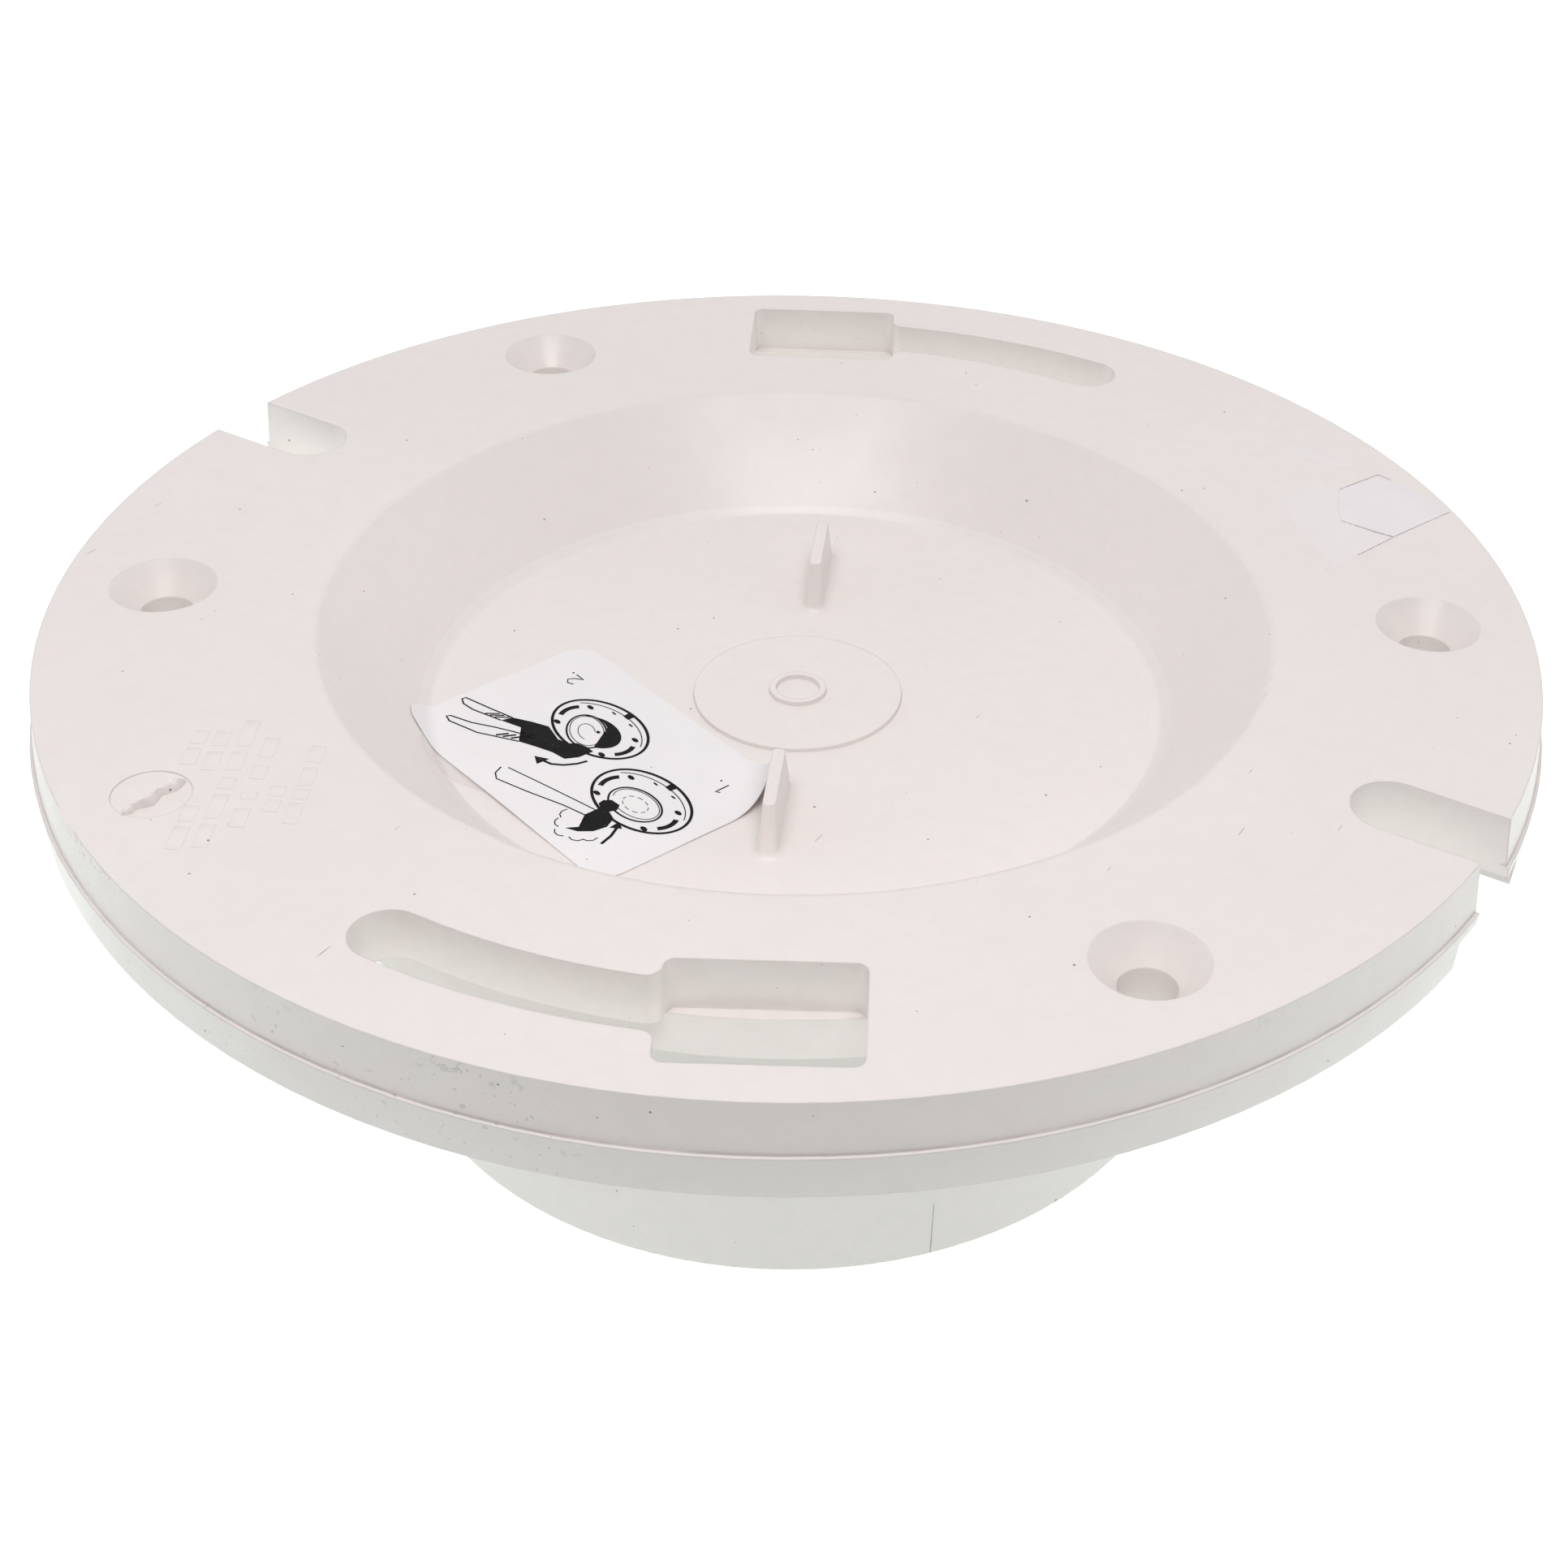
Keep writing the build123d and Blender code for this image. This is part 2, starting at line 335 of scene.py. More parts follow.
for across, spans in row_marks:
    for start, end in spans:
        first = len(points)
        for along, shrink in ((start, 0.94), (start + 0.12, 1.0), (end - 0.12, 1.0), (end, 0.94)):
            for side, rise in bar_crest:
                x = across * MM + side * bar_width * shrink
                y = along * MM
                height = bar_height * rise * (1 if shrink == 1.0 else 0.35) - 0.01 * MM
                points.append(
                    Vector(
                        (
                            x * math.cos(rows_turn) - y * math.sin(rows_turn),
                            x * math.sin(rows_turn) + y * math.cos(rows_turn),
                            top + height,
                        )
                    )
                )
        for stage in range(3):
            for edge in range(corners):
                here = first + corners * stage + edge
                there = first + corners * stage + (edge + 1) % corners
                faces.append((here, there, there + corners, here + corners))
        faces.append(tuple(range(first, first + corners)))
        faces.append(tuple(range(first + 3 * corners, first + 4 * corners)))
new_piece("blank_mark_bars", points, faces, mark_plastic, "flange")


# Knit line down the hub: a fine ridge that the moulding leaves where two streams of resin
# met behind the core. A dark grey painted shade on it shows it up.
hub_radius = 51.0 * MM
knit_angle = math.radians(-39.15)
knit_width = 0.16 * MM
knit_proud = 0.05 * MM
knit_low, knit_high = 0.8 * MM, 8.5 * MM
points, faces = [], []
knit_steps = 12
for step in range(knit_steps + 1):
    travel = step / knit_steps
    height = knit_low + travel * (knit_high - knit_low)
    half = 0.5 * knit_width * (1 - 0.75 * travel) / hub_radius
    lean = 0.004 * travel
    for turn, radius in ((-half, -0.02 * MM), (0, knit_proud), (half, -0.02 * MM)):
        angle = knit_angle + turn + lean
        reach = hub_radius + radius
        points.append(Vector((reach * math.cos(angle), reach * math.sin(angle), height)))
for step in range(knit_steps):
    for edge in range(3):
        here, there = 3 * step + edge, 3 * step + (edge + 1) % 3
        faces.append((here, there, there + 3, here + 3))
faces += [(0, 1, 2), (3 * knit_steps, 3 * knit_steps + 1, 3 * knit_steps + 2)]
# The ridge's dark grey colour is painted shade
knit_painted_shade = Recipe("knit_line_shadow")
knit_shade = knit_painted_shade.step(knit_painted_shade.noise(900.0), 0.3, 0.7)
knit_grey = knit_painted_shade.blend(knit_shade, shade(pvc_white, 0.45), shade(pvc_white, 0.7))
knit_painted_shade.link(knit_grey, knit_painted_shade.shader.inputs["Base Color"])
knit_painted_shade.shader.inputs["Roughness"].default_value = 0.5
new_piece("hub_knit_line", points, faces, knit_painted_shade.material, "flange")


# Test plate: the same resin, a thin plate with two fins for the pliers. A thin web runs from
# its edge into the bowl's wall, and tears off with the plate when it is knocked out.
plate_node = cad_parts["test_plate"]
plate_white = shade(pvc_white, 1.01)
plate_plastic = moulded_pvc("test_plate_moulded_pvc", plate_white, 0.34)
web_plastic = moulded_pvc("break_away_web_pvc", plate_white, 0.34, solid_wall=False)
finish_node(plate_node, plate_plastic)
web_steps = 240
web_under = 0.021 * MM
web_upper = [(-1.6, -0.02), (-1.1, 0.035), (-0.45, 0.045), (-0.2, 0.07), (0.02, 0.2)]
for rise, inward in ((0.4, 0.1), (0.75, 0.085), (1.05, 0.05), (1.3, -0.05)):
    web_upper.append((rise * wall_slope - inward, rise))
web_section = [(crease_radius + out * MM, floor_z + up * MM) for out, up in web_upper]
for out, up in reversed(web_upper[1:-1]):
    upper_radius, upper_z = crease_radius + out * MM, floor_z + up * MM
    web_section.append((upper_radius + web_under, upper_z - web_under))
turned_ring(
    "break_away_web",
    web_section,
    Vector((0, 0, 0)),
    web_steps,
    web_plastic,
    "plate",
)


# Instruction label: a coated paper sticker laid on the test plate. One corner laps up the
# bowl's wall, and another curls up against the nearer fin.
label_corner = Vector((-28.5, -5.35, 0)) * MM
label_turn = math.radians(-18)
label_along = Vector((math.cos(label_turn), math.sin(label_turn), 0))
label_down = Vector((label_along.y, -label_along.x, 0))
label_length = 41.6
label_width = 27.6
label_rounding = 3.0
label_thickness = 0.12 * MM
fin_angle = 116.8
fin_turn = math.radians(fin_angle + 180)
to_fin = Vector((-math.sin(fin_turn), math.cos(fin_turn), 0))
curl_start = -5.2 * MM
curl_radius = 4.0 * MM
lap_start = 43.75 * MM
lap_radius = 2.0 * MM
wall_angle = math.atan(bowl_depth / (bowl_mouth_radius - crease_radius))


def bent(travel, radius, limit):
    """How far a sheet runs on and rises after it starts to bend, up to a limiting angle."""
    angle = min(max(travel, 0) / radius, limit)
    rest = max(travel - radius * limit, 0)
    run = min(travel, 0) + radius * math.sin(angle) + rest * math.cos(limit)
    return run, radius * (1 - math.cos(angle)) + rest * math.sin(limit)


def on_label(a, b, lift=0.0):
    """The point a mm along and b mm down the label, lifted off its upper side."""

    def surface(a, b):
        spot = label_corner + label_along * (a * MM) + label_down * (b * MM)
        toward = spot.dot(to_fin)
        run, rise = bent(toward - curl_start, curl_radius, math.pi / 2)
        spot += to_fin * (curl_start + run - toward)
        height = rise
        reach = spot.length
        run, rise = bent(reach - lap_start, lap_radius, wall_angle)
        spot *= (lap_start + run) / reach
        height += rise
        ease = max(0.0, (b - 22.0) / 5.6) * max(0.0, math.sin(math.pi * min(1.0, max(0.0, (a - 3) / 34))))
        height += 0.22 * MM * ease * ease
        height += 0.03 * MM * (1 + math.sin(0.35 * a + 0.2 * b) * math.sin(0.3 * b + 1))
        return Vector((spot.x, spot.y, floor_z + 0.03 * MM + label_thickness + height))

    here = surface(a, b)
    normal = (surface(a + 0.05, b) - here).cross(surface(a, b + 0.05) - here).normalized()
    if normal.z < 0:
        normal = -normal
    return here + normal * lift


def inset(a):
    """How far the rounded corners draw the label's long edges in at a mm along it."""
    from_end = min(a, label_length - a)
    if from_end >= label_rounding:
        return 0.0
    return label_rounding - math.sqrt(max(0.0, label_rounding**2 - (label_rounding - from_end) ** 2))


columns, lanes = 110, 64
grid = []
for column in range(columns + 1):
    swing = 0.5 - 0.5 * math.cos(math.pi * column / columns)
    a = label_length * (0.35 * swing + 0.65 * column / columns)
    edge = inset(a)
    grid.append([(a, edge + (label_width - 2 * edge) * lane / lanes) for lane in range(lanes + 1)])


def closed_sheet(name, grid, above, below, material, body):
    """A thin closed sheet over a grid of places, between two surfaces."""
    wide, deep = len(grid), len(grid[0])
    points = [above(*spot) for line in grid for spot in line]
    points += [below(*spot) for line in grid for spot in line]
    under = wide * deep
    faces = []
    for i in range(wide - 1):
        for j in range(deep - 1):
            corner = i * deep + j
            quad = (corner, corner + 1, corner + deep + 1, corner + deep)
            faces.append(quad)
            faces.append(tuple(under + index for index in reversed(quad)))
    border = [(i, 0) for i in range(wide)] + [(wide - 1, j) for j in range(1, deep)]
    border += [(i, deep - 1) for i in range(wide - 2, -1, -1)] + [(0, j) for j in range(deep - 2, 0, -1)]
    for (i, j), (k, m) in zip(border, border[1:] + border[:1]):
        faces.append((i * deep + j, k * deep + m, under + k * deep + m, under + i * deep + j))
    return new_piece(name, points, faces, material, body)


def coated_paper(name, tint, gloss):
    recipe = Recipe(name)
    shader = recipe.shader
    cloud = recipe.step(recipe.noise(150.0, 4.0), 0.3, 0.7)
    colour = recipe.blend(cloud, shade(tint, 0.98), tint)
    specks = recipe.flecks(recipe.stretched((700, 700, 700)), 0.09, 0.12)
    colour = recipe.blend(specks, colour, shade(tint, 0.45))
    recipe.link(colour, shader.inputs["Base Color"])
    recipe.link(recipe.step(recipe.noise(300.0), 0.3, 0.7, gloss, gloss + 0.1), shader.inputs["Roughness"])
    fibre = recipe.noise(1.0, 3.0, recipe.stretched((2600, 900, 1800), 0.4))
    recipe.bump(fibre, 0.1, 0.00005)
    return recipe.material


label_paper = coated_paper("label_coated_paper", (0.835, 0.815, 0.823), 0.42)
label = closed_sheet(
    "instruction_sticker",
    grid,
    lambda a, b: on_label(a, b),
    lambda a, b: on_label(a, b, -label_thickness),
    label_paper,
    "plate",
)
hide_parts("instruction_label")


# Printing on the label: black ink, a film laid a hair above the paper. Its own plain
# pictogram shows a flange whose plate is struck with a hammer, then pulled with pliers.
ink_lift = 0.018 * MM
ink_thickness = 0.012 * MM
ink_step = 0.55
printing = bmesh.new()


def drawn(points, faces):
    corners = [printing.verts.new((a, b, 0)) for a, b in points]
    for face in faces:
        printing.faces.new([corners[index] for index in face])


def stroke(points, width, closed=False):
    """A pen line of one width through points on the label."""
    path = list(points) + ([points[0]] if closed else [])
    fine = []
    for (a, b), (c, d) in zip(path, path[1:]):
        parts = max(1, round(math.hypot(c - a, d - b) / ink_step))
        fine += [(a + (c - a) * k / parts, b + (d - b) * k / parts) for k in range(parts)]
    if not closed:
        fine.append(path[-1])
    count = len(fine)
    rails, faces = [], []
    for index, (a, b) in enumerate(fine):
        before = fine[(index - 1) % count] if closed or index else fine[0]
        after = fine[(index + 1) % count] if closed or index < count - 1 else fine[-1]
        heading = math.atan2(after[1] - before[1], after[0] - before[0])
        side = (-0.5 * width * math.sin(heading), 0.5 * width * math.cos(heading))
        rails += [(a + side[0], b + side[1]), (a - side[0], b - side[1])]
    for index in range(count if closed else count - 1):
        ahead = (index + 1) % count
        faces.append((2 * index, 2 * index + 1, 2 * ahead + 1, 2 * ahead))
    drawn(rails, faces)


def solid(points):
    drawn(points, [tuple(range(len(points)))])


def moved(points, a, b, turn=0):
    tilt = math.radians(turn)
    return [
        (a + x * math.cos(tilt) - y * math.sin(tilt), b + x * math.sin(tilt) + y * math.cos(tilt))
        for x, y in points
    ]


def oval(a, b, wide, high, turn=0, start=0, sweep=360, steps=60):
    spots = []
    for step in range(steps + (sweep < 360)):
        angle = math.radians(start + sweep * step / steps)
        x, y = wide * math.cos(angle), high * math.sin(angle)
        spots.append((x, y))
    return moved(spots, a, b, turn)


def flange_picture(a, b):
    stroke(oval(a, b, 7.2, 4.8), 0.36, closed=True)
    stroke(oval(a, b + 0.35, 6.75, 4.3, start=205, sweep=130), 0.12)
    solid([(a - 0.6, b - 4.75), (a + 0.6, b - 4.75), (a + 0.5, b - 3.75), (a - 0.5, b - 3.8)])
    for side in (-1, 1):
        middle = 90 + 90 * side
        stroke(oval(a, b + 0.5, 5.95, 3.6, start=middle - 22, sweep=44, steps=8), 0.66)
        solid(oval(a + 4.55 * side, b - 1.85, 0.55, 0.3, steps=14))
        solid(oval(a + 4.55 * side, b + 3.05, 0.55, 0.32, steps=14))
        solid(oval(a + 1.7 * side, b - 3.3, 0.42, 0.13, steps=10))


# Step two: the plate is pulled out with pliers
flange_picture(16.8, 9.75)
stroke(oval(16.2, 11.3, 3.6, 2.35, turn=26), 0.24, closed=True)
stroke(oval(16.1, 11.2, 3.2, 2.0, turn=26), 0.1, closed=True)
stroke(oval(16.2, 11.3, 1.7, 1.0, turn=26, start=30, sweep=250, steps=24), 0.09)
solid(oval(17.2, 10.3, 0.3, 0.24, steps=12))
opening = oval(17.0, 10.6, 3.9, 2.6, start=205, sweep=195, steps=26)
opening += list(reversed(oval(16.3, 11.2, 3.55, 2.4, turn=26, start=188, sweep=170, steps=26)))
solid(opening)
jaws = [
    (12.5, 14.2), (15.4, 14.9), (16.9, 14.5), (17.6, 13.6), (18.9, 13.2), (20.2, 13.2),
    (20.1, 15.2), (19.3, 16.7), (17.3, 17.0), (15.2, 17.8), (12.9, 18.8), (13.4, 17.5),
    (15.3, 16.5), (13.4, 16.3), (10.6, 16.9), (7.8, 17.9), (8.2, 16.5), (10.4, 15.2),
]
solid(jaws)
upper_handle = [
    (8.2, 16.5), (5.0, 17.4), (2.2, 18.1), (1.0, 18.4),
    (0.9, 18.9), (1.9, 19.35), (3.7, 19.2), (7.8, 17.9),
]
lower_handle = [
    (13.2, 16.9), (11.0, 18.0), (8.6, 19.3), (6.0, 20.9), (3.1, 22.0),
    (2.9, 22.45), (4.0, 22.75), (8.2, 21.6), (12.9, 18.8),
]
stroke(upper_handle, 0.2)
stroke(lower_handle, 0.2)
for share in (0.15, 0.4, 0.62):
    stroke([(13.0 - 3.6 * share, 17.3 + 2.4 * share), (12.3 - 3.6 * share, 18.8 + 2.2 * share)], 0.3)
    stroke([(8.4 - 3 * share, 16.6 + share), (7.2 - 3 * share, 17.9 + share)], 0.22)
stroke([(21.4, 14.9), (21.1, 16.1), (20.3, 17.5), (19.2, 18.5), (17.8, 18.9)], 0.34)
solid([(18.2, 18.1), (16.6, 19.1), (18.1, 19.8)])

# Step one: the plate is struck with a hammer
flange_picture(31.9, 14.75)
stroke(oval(32.0, 15.75, 3.9, 2.55), 0.24, closed=True)
stroke(oval(32.0, 15.6, 3.5, 2.1, start=150, sweep=330), 0.1)
for start in range(0, 360, 40):
    stroke(oval(32.0, 15.7, 1.9, 1.2, start=start, sweep=24, steps=4), 0.09)
head = [
    (29.0, 18.1), (29.6, 17.3), (31.0, 17.2), (31.6, 18.0), (31.3, 18.9), (32.7, 19.3),
    (33.5, 20.8), (33.2, 22.5), (32.1, 23.9), (30.7, 24.6), (31.5, 23.3), (31.8, 22.0),
    (31.2, 21.3), (30.0, 21.4), (30.0, 19.2), (29.2, 18.9),
]
solid(head)
stroke([(30.1, 19.9), (26.0, 20.75), (21.0, 21.8), (16.6, 22.8)], 0.15)
stroke([(30.2, 21.4), (27.0, 22.2), (22.0, 23.9), (17.7, 25.2), (16.6, 24.6), (16.0, 23.4)], 0.17)
puff = [(-0.25, -0.85), (0.15, -0.35), (0.15, 0.35), (-0.25, 0.85)]
for turn, a, b in (
    (150, 28.1, 23.2),
    (125, 29.2, 24.8),
    (90, 31.0, 25.9),
    (55, 33.2, 25.0),
    (30, 34.3, 23.7),
):
    stroke(moved(puff, a, b, turn), 0.14)
stroke([(35.7, 23.2), (35.2, 21.5), (34.4, 20.1)], 0.36)
solid([(34.9, 19.7), (33.6, 19.2), (33.8, 20.7)])

# The steps' numbers
two = [(-0.7, -0.6), (0.0, -0.95), (0.65, -0.5), (0.3, 0.2), (-0.7, 0.95), (0.8, 0.95)]
stroke(moved(two, 6.0, 5.9, 180), 0.16)
solid(oval(4.6, 5.0, 0.14, 0.14, steps=8))
one = [(-0.5, -0.65), (0.0, -1.0), (0.0, 1.0)]
stroke(moved(one, 35.8, 6.0, 180), 0.17)
solid(oval(34.5, 5.1, 0.14, 0.14, steps=8))

bmesh.ops.triangulate(printing, faces=printing.faces)
for _ in range(3):
    long_edges = [edge for edge in printing.edges if edge.calc_length() > 2 * ink_step]
    if long_edges:
        bmesh.ops.subdivide_edges(printing, edges=long_edges, cuts=1)
        bmesh.ops.triangulate(printing, faces=printing.faces)

# The flat drawing, laid over the bent paper
flat_points = [tuple(vertex.co) for vertex in printing.verts]
printing.verts.index_update()
flat_faces = [[vertex.index for vertex in face.verts] for face in printing.faces]
rims = [[edge.verts[0].index, edge.verts[1].index] for edge in printing.edges if edge.is_boundary]
printing.free()
count = len(flat_points)
ink_points = [on_label(a, b, ink_lift + ink_thickness) for a, b, _ in flat_points]
ink_points += [on_label(a, b, ink_lift) for a, b, _ in flat_points]
ink_faces = flat_faces + [[count + index for index in reversed(face)] for face in flat_faces]
ink_faces += [(first, second, count + second, count + first) for first, second in rims]
ink = Recipe("label_black_ink")
worn_ink = ink.step(ink.noise(1900.0, 4.0), 0.66, 0.74)
ink.link(ink.blend(worn_ink, (0.004, 0.004, 0.005), (0.07, 0.07, 0.07)), ink.shader.inputs["Base Color"])
ink.link(ink.step(ink.noise(500.0), 0.3, 0.7, 0.4, 0.55), ink.shader.inputs["Roughness"])
ink.shader.inputs["Specular IOR Level"].default_value = 0.15
new_piece("label_printing", ink_points, ink_faces, ink.material, "plate")


# Clear liner film: a sliver of the label's thin plastic backing, left under its lower edge
# and curling up the foot of the bowl's wall.
film_thickness = 0.04 * MM
film_start, film_length = 6.5, 14.5
film_tucked = 26.6
film_columns, film_lanes = 40, 12
film_grid = []
for column in range(film_columns + 1):
    share = column / film_columns
    a = film_start + film_length * share
    reach = 27.0 + 3.2 * math.sin(math.pi * share**0.7) ** 0.8 - film_tucked
    spots = range(film_lanes + 1)
    film_grid.append([(a - 0.12 * lane, film_tucked + reach * lane / film_lanes) for lane in spots])


def on_film(a, b, lift=0.0):
    spot = on_label(a, b)
    return Vector((spot.x, spot.y, spot.z - label_thickness - 0.02 * MM + lift))


film = Recipe("clear_liner_film")
film.shader.inputs["Base Color"].default_value = (0.84, 0.8, 0.79, 1)
film.shader.inputs["Alpha"].default_value = 0.12
film.shader.inputs["IOR"].default_value = 1.4
film.link(film.step(film.noise(400.0), 0.3, 0.7, 0.06, 0.2), film.shader.inputs["Roughness"])
film.bump(film.noise(260.0, 3.0), 0.25, 0.00012)
closed_sheet(
    "liner_film_sliver",
    film_grid,
    lambda a, b: on_film(a, b, film_thickness),
    lambda a, b: on_film(a, b),
    film.material,
    "plate",
)


# Remnant of a torn sticker on the rim: a full thickness of paper with one straight cut edge,
# a thin layer of its fibres beside it, and a loose scrap. Dark brownish strips lie along parts of their
# edges.
remnant_paper = coated_paper("torn_sticker_paper", (0.8, 0.77, 0.79), 0.5)
fibre_layer = coated_paper("torn_sticker_fibre_layer", (0.805, 0.766, 0.765), 0.55)
thick_outline = [
    (54.7, 56.1), (56.5, 61.0), (58.4, 66.3), (54.6, 68.2), (50.1, 69.7),
    (46.7, 70.7), (44.0, 64.0), (45.3, 60.1), (47.2, 56.3),
]
thin_outline = [
    (54.7, 56.0), (53.0, 50.2), (51.2, 44.6), (47.0, 48.3), (43.0, 51.5), (40.2, 54.8),
    (37.9, 57.6), (40.0, 63.5), (43.9, 63.9), (45.3, 60.0), (47.2, 56.2),
]
scrap_outline = [(33.4, 70.0), (35.1, 73.6), (38.1, 71.9), (43.6, 71.3), (42.0, 69.6), (37.0, 69.2)]
paper_gap = 0.004 * MM


def torn_paper(name, outline, thickness, ragged, lift, paper):
    """Paper inside an outline, ragged at the edge, thinning to nothing where it was torn."""
    path = []
    for (x, y), (u, v) in zip(outline, outline[1:] + outline[:1]):
        parts = max(2, round(math.hypot(u - x, v - y) / 0.5))
        for step in range(parts):
            share = step / parts
            wobble = ragged * dice.uniform(-1, 1) if step else 0.0
            path.append((x + (u - x) * share + wobble, y + (v - y) * share + wobble * dice.uniform(-1, 1)))
    middle = (sum(x for x, _ in path) / len(path), sum(y for _, y in path) / len(path))
    rings, count = 9, len(path)
    points, faces = [Vector((middle[0] * MM, middle[1] * MM, top + thickness))], []
    for ring in range(1, rings + 1):
        share = (ring / rings) ** 0.8
        for x, y in path:
            px, py = middle[0] + (x - middle[0]) * share, middle[1] + (y - middle[1]) * share
            wave = 0.5 + 0.5 * math.sin(1.3 * px + 0.7 * py) * math.sin(1.1 * py)
            feather = min(1.0, 0.1 + 12 * (1 - share))
            height = feather * thickness * (0.85 + 0.3 * wave) + lift * max(0.0, share - 0.8) * 5 * wave
            points.append(Vector((px * MM, py * MM, top + height)))
    for x, y in path:
        points.append(Vector((x * MM, y * MM, top + paper_gap)))
    points.append(Vector((middle[0] * MM, middle[1] * MM, top + paper_gap)))
    for index in range(count):
        ahead = (index + 1) % count
        faces.append((0, 1 + index, 1 + ahead))
        for ring in range(rings):
            low, high = 1 + ring * count, 1 + (ring + 1) * count
            faces.append((low + index, high + index, high + ahead, low + ahead))
        base = 1 + rings * count
        faces.append((base + index, len(points) - 1, base + ahead))
    return new_piece(name, points, faces, paper, "flange")


remnant = torn_paper("torn_sticker_thick", thick_outline, 0.09 * MM, 0.03, 0.03 * MM, remnant_paper)
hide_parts("label_remnant")
torn_paper("torn_sticker_thin", thin_outline, 0.02 * MM, 0.09, 0.0, fibre_layer)
torn_paper("torn_sticker_scrap", scrap_outline, 0.03 * MM, 0.12, 0.01 * MM, fibre_layer)

# Dark brownish strips, laid a little proud along parts of the paper's edges
edge_strip = Recipe("sticker_edge_dark_strips")
edge_strip_mix = edge_strip.step(edge_strip.noise(1500.0, 3.0), 0.35, 0.65)
edge_strip.link(edge_strip.blend(edge_strip_mix, (0.52, 0.46, 0.43), (0.74, 0.7, 0.68)), edge_strip.shader.inputs["Base Color"])
edge_strip.shader.inputs["Roughness"].default_value = 0.7
total = 24
points, faces = [], []
for line, widest in (
    ([(47.2, 56.25), (49.6, 56.0), (52.2, 55.85), (54.6, 55.95)], 0.09),
    ([(58.4, 66.3), (57.0, 62.5), (55.6, 58.6), (54.7, 56.0), (53.7, 52.6), (52.6, 49.0)], 0.09),
    ([(43.9, 64.0), (45.0, 66.8), (46.6, 70.6), (48.6, 70.2)], 0.05),
):
    first = len(points)
    for step in range(total + 1):
        spot = step / total * (len(line) - 1)
        index = min(int(spot), len(line) - 2)
        share = spot - index
        (x, y), (u, v) = line[index], line[index + 1]
        heading = math.atan2(v - y, u - x)
        start_taper = math.sin(math.pi * min(1, (step + 1) / 8)) ** 0.5
        half = 0.5 * widest * (0.45 + 0.55 * dice.random()) * start_taper
        if step > total - 6:
            half *= (total - step + 0.4) / 6
        px, py = x + (u - x) * share, y + (v - y) * share
        for side, rise in ((-1, 0.0), (0, 0.09), (1, 0.0)):
            points.append(
                Vector(
                    (
                        (px - side * half * math.sin(heading)) * MM,
                        (py + side * half * math.cos(heading)) * MM,
                        top + (0.02 + rise) * MM,
                    )
                )
            )
    for step in range(total):
        for edge in range(3):
            here, there = first + 3 * step + edge, first + 3 * step + (edge + 1) % 3
            faces.append((here, there, there + 3, here + 3))
    last = first + 3 * total
    faces += [(first, first + 1, first + 2), (last, last + 1, last + 2)]
new_piece("sticker_edge_dark_strips", points, faces, edge_strip.material, "flange")


# Studio: a white lit table in an even bright tent, both giving no light on the lens's side,
# though they still look white there, and a long lens set above the rim's near side.
view_turn = math.radians(28.75)
facing = Vector((math.sin(view_turn), -math.cos(view_turn), 0))
floor_size = 3.0
floor_mesh = bpy.data.meshes.new("studio_floor")
half = floor_size / 2
floor_mesh.from_pydata(
    [(-half, -half, 0), (half, -half, 0), (half, half, 0), (-half, half, 0)],
    [],
    [(0, 1, 2, 3)],
)
floor = bpy.data.objects.new("studio_floor", floor_mesh)
bpy.context.collection.objects.link(floor)
floor.location.z = -0.0002
table = Recipe("studio_lit_table")
table.shader.inputs["Base Color"].default_value = (0.32, 0.34, 0.335, 1)
table.shader.inputs["Roughness"].default_value = 0.95
table.shader.inputs["Specular IOR Level"].default_value = 0.1
table.shader.inputs["Emission Color"].default_value = (0.93, 1.0, 0.965, 1)
forward = table.tree.nodes.new("ShaderNodeVectorMath")
forward.operation = "DOT_PRODUCT"
forward.inputs[1].default_value = facing
table.link(table.place, forward.inputs[0])
table_brightness = 1.1
table_glow = table.step(forward.outputs["Value"], 0.1, 0.24, table_brightness, 0.0)
table_sight = table.tree.nodes.new("ShaderNodeLightPath").outputs["Is Camera Ray"]
table_white = table.math("MULTIPLY", table_sight, table_brightness)
table.link(table.math("MAXIMUM", table_glow, table_white), table.shader.inputs["Emission Strength"])
floor_mesh.materials.append(table.material)

world = bpy.context.scene.world or bpy.data.worlds.new("studio")
bpy.context.scene.world = world
world.use_nodes = True
tent = world.node_tree
sky = tent.nodes["Background"]
sky.inputs["Color"].default_value = (1.0, 0.99, 0.99, 1)
heading = tent.nodes.new("ShaderNodeTexCoord").outputs["Generated"]


def sky_math(kind, first, second):
    node = tent.nodes.new("ShaderNodeMath")
    node.operation = kind
    for socket, value in zip(node.inputs, (first, second)):
        if isinstance(value, float):
            socket.default_value = value
        else:
            tent.links.new(value, socket)
    return node.outputs["Value"]


def sky_dot(direction, low, high, start, end):
    node = tent.nodes.new("ShaderNodeVectorMath")
    node.operation = "DOT_PRODUCT"
    node.inputs[1].default_value = direction
    tent.links.new(heading, node.inputs[0])
    ease = tent.nodes.new("ShaderNodeMapRange")
    ease.interpolation_type = "SMOOTHSTEP"
    tent.links.new(node.outputs["Value"], ease.inputs["Value"])
    for socket, value in zip(("From Min", "From Max", "To Min", "To Max"), (low, high, start, end)):
        ease.inputs[socket].default_value = value
    return ease.outputs["Result"]


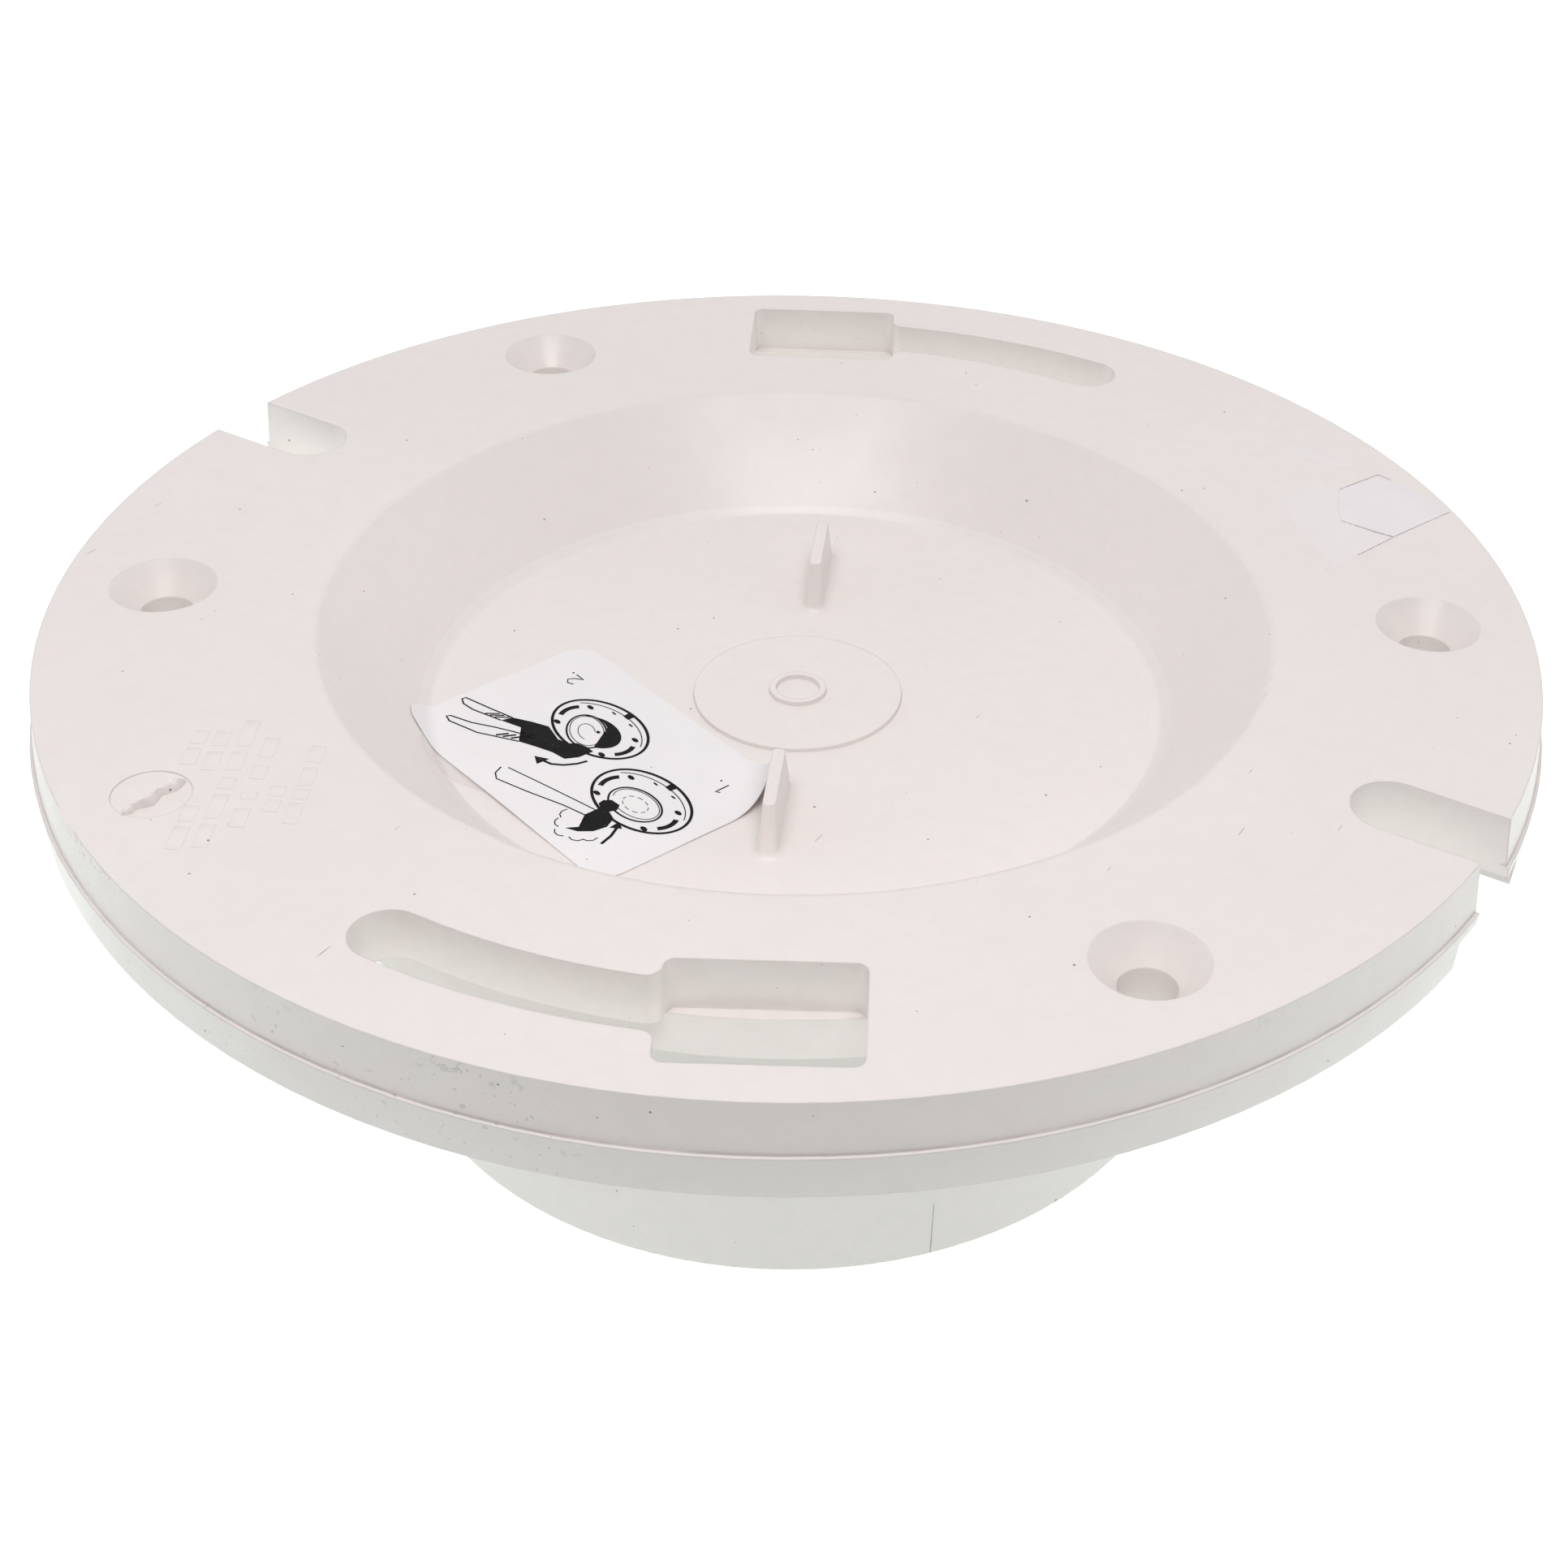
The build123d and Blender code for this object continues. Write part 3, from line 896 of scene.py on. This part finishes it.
horizon = sky_dot(facing, 0.0, 0.85, 1.08, 0.0)
tent_roof = sky_dot(Vector((0, 0, 1)) - 0.45 * facing, 0.2, 0.6, 0.0, 1.0)
walls = sky_math("MULTIPLY", horizon, sky_math("SUBTRACT", 1.0, tent_roof))
roof = sky_math("MULTIPLY", tent_roof, 0.655)
tent_sight = tent.nodes.new("ShaderNodeLightPath").outputs["Is Camera Ray"]
tent_light = sky_math("MAXIMUM", sky_math("ADD", walls, roof), tent_sight)
tent.links.new(tent_light, sky.inputs["Strength"])


def softbox(name, power, size, spot, aim, colour):
    light = bpy.data.lights.new(name, "AREA")
    light.shape = "RECTANGLE"
    light.size, light.size_y = size
    light.energy = power
    light.color = colour
    lamp = bpy.data.objects.new(name, light)
    bpy.context.collection.objects.link(lamp)
    lamp.location = spot
    lamp.rotation_mode = "QUATERNION"
    lamp.rotation_quaternion = (Vector(spot) - Vector(aim)).to_track_quat("Z", "Y")
    return lamp


key_spot = facing * 0.35 + Vector((0, 0, 0.78))
softbox("front_softbox", 3.5, (0.55, 0.4), key_spot, (0, 0, top), (1.0, 0.985, 0.98))

# The lens looks at the middle of the rim's face
rise = math.radians(31.825)
roll = math.radians(2.432)
reach = 320.477 * MM
sidestep = 17.188 * MM
upstep = -3.467 * MM
back = facing * math.cos(rise) + Vector((0, 0, math.sin(rise)))
level = Vector((math.cos(view_turn), math.sin(view_turn), 0))
upright = back.cross(level)
right = level * math.cos(roll) + upright * math.sin(roll)
up = upright * math.cos(roll) - level * math.sin(roll)
camera_data = bpy.data.cameras.new("studio_camera")
camera = bpy.data.objects.new("studio_camera", camera_data)
bpy.context.collection.objects.link(camera)
stand = Vector((0, 0, top)) + back * reach + right * sidestep + up * upstep
camera.matrix_world = Matrix.Translation(stand) @ Matrix((right, up, back)).transposed().to_4x4()
camera_data.sensor_width = 36.0
camera_data.lens = 60.80
camera_data.shift_x = -0.0999
camera_data.shift_y = -0.0963
camera_data.clip_start = 0.01
camera_data.clip_end = 20
bpy.context.scene.camera = camera
bpy.context.scene.view_settings.view_transform = "Standard"
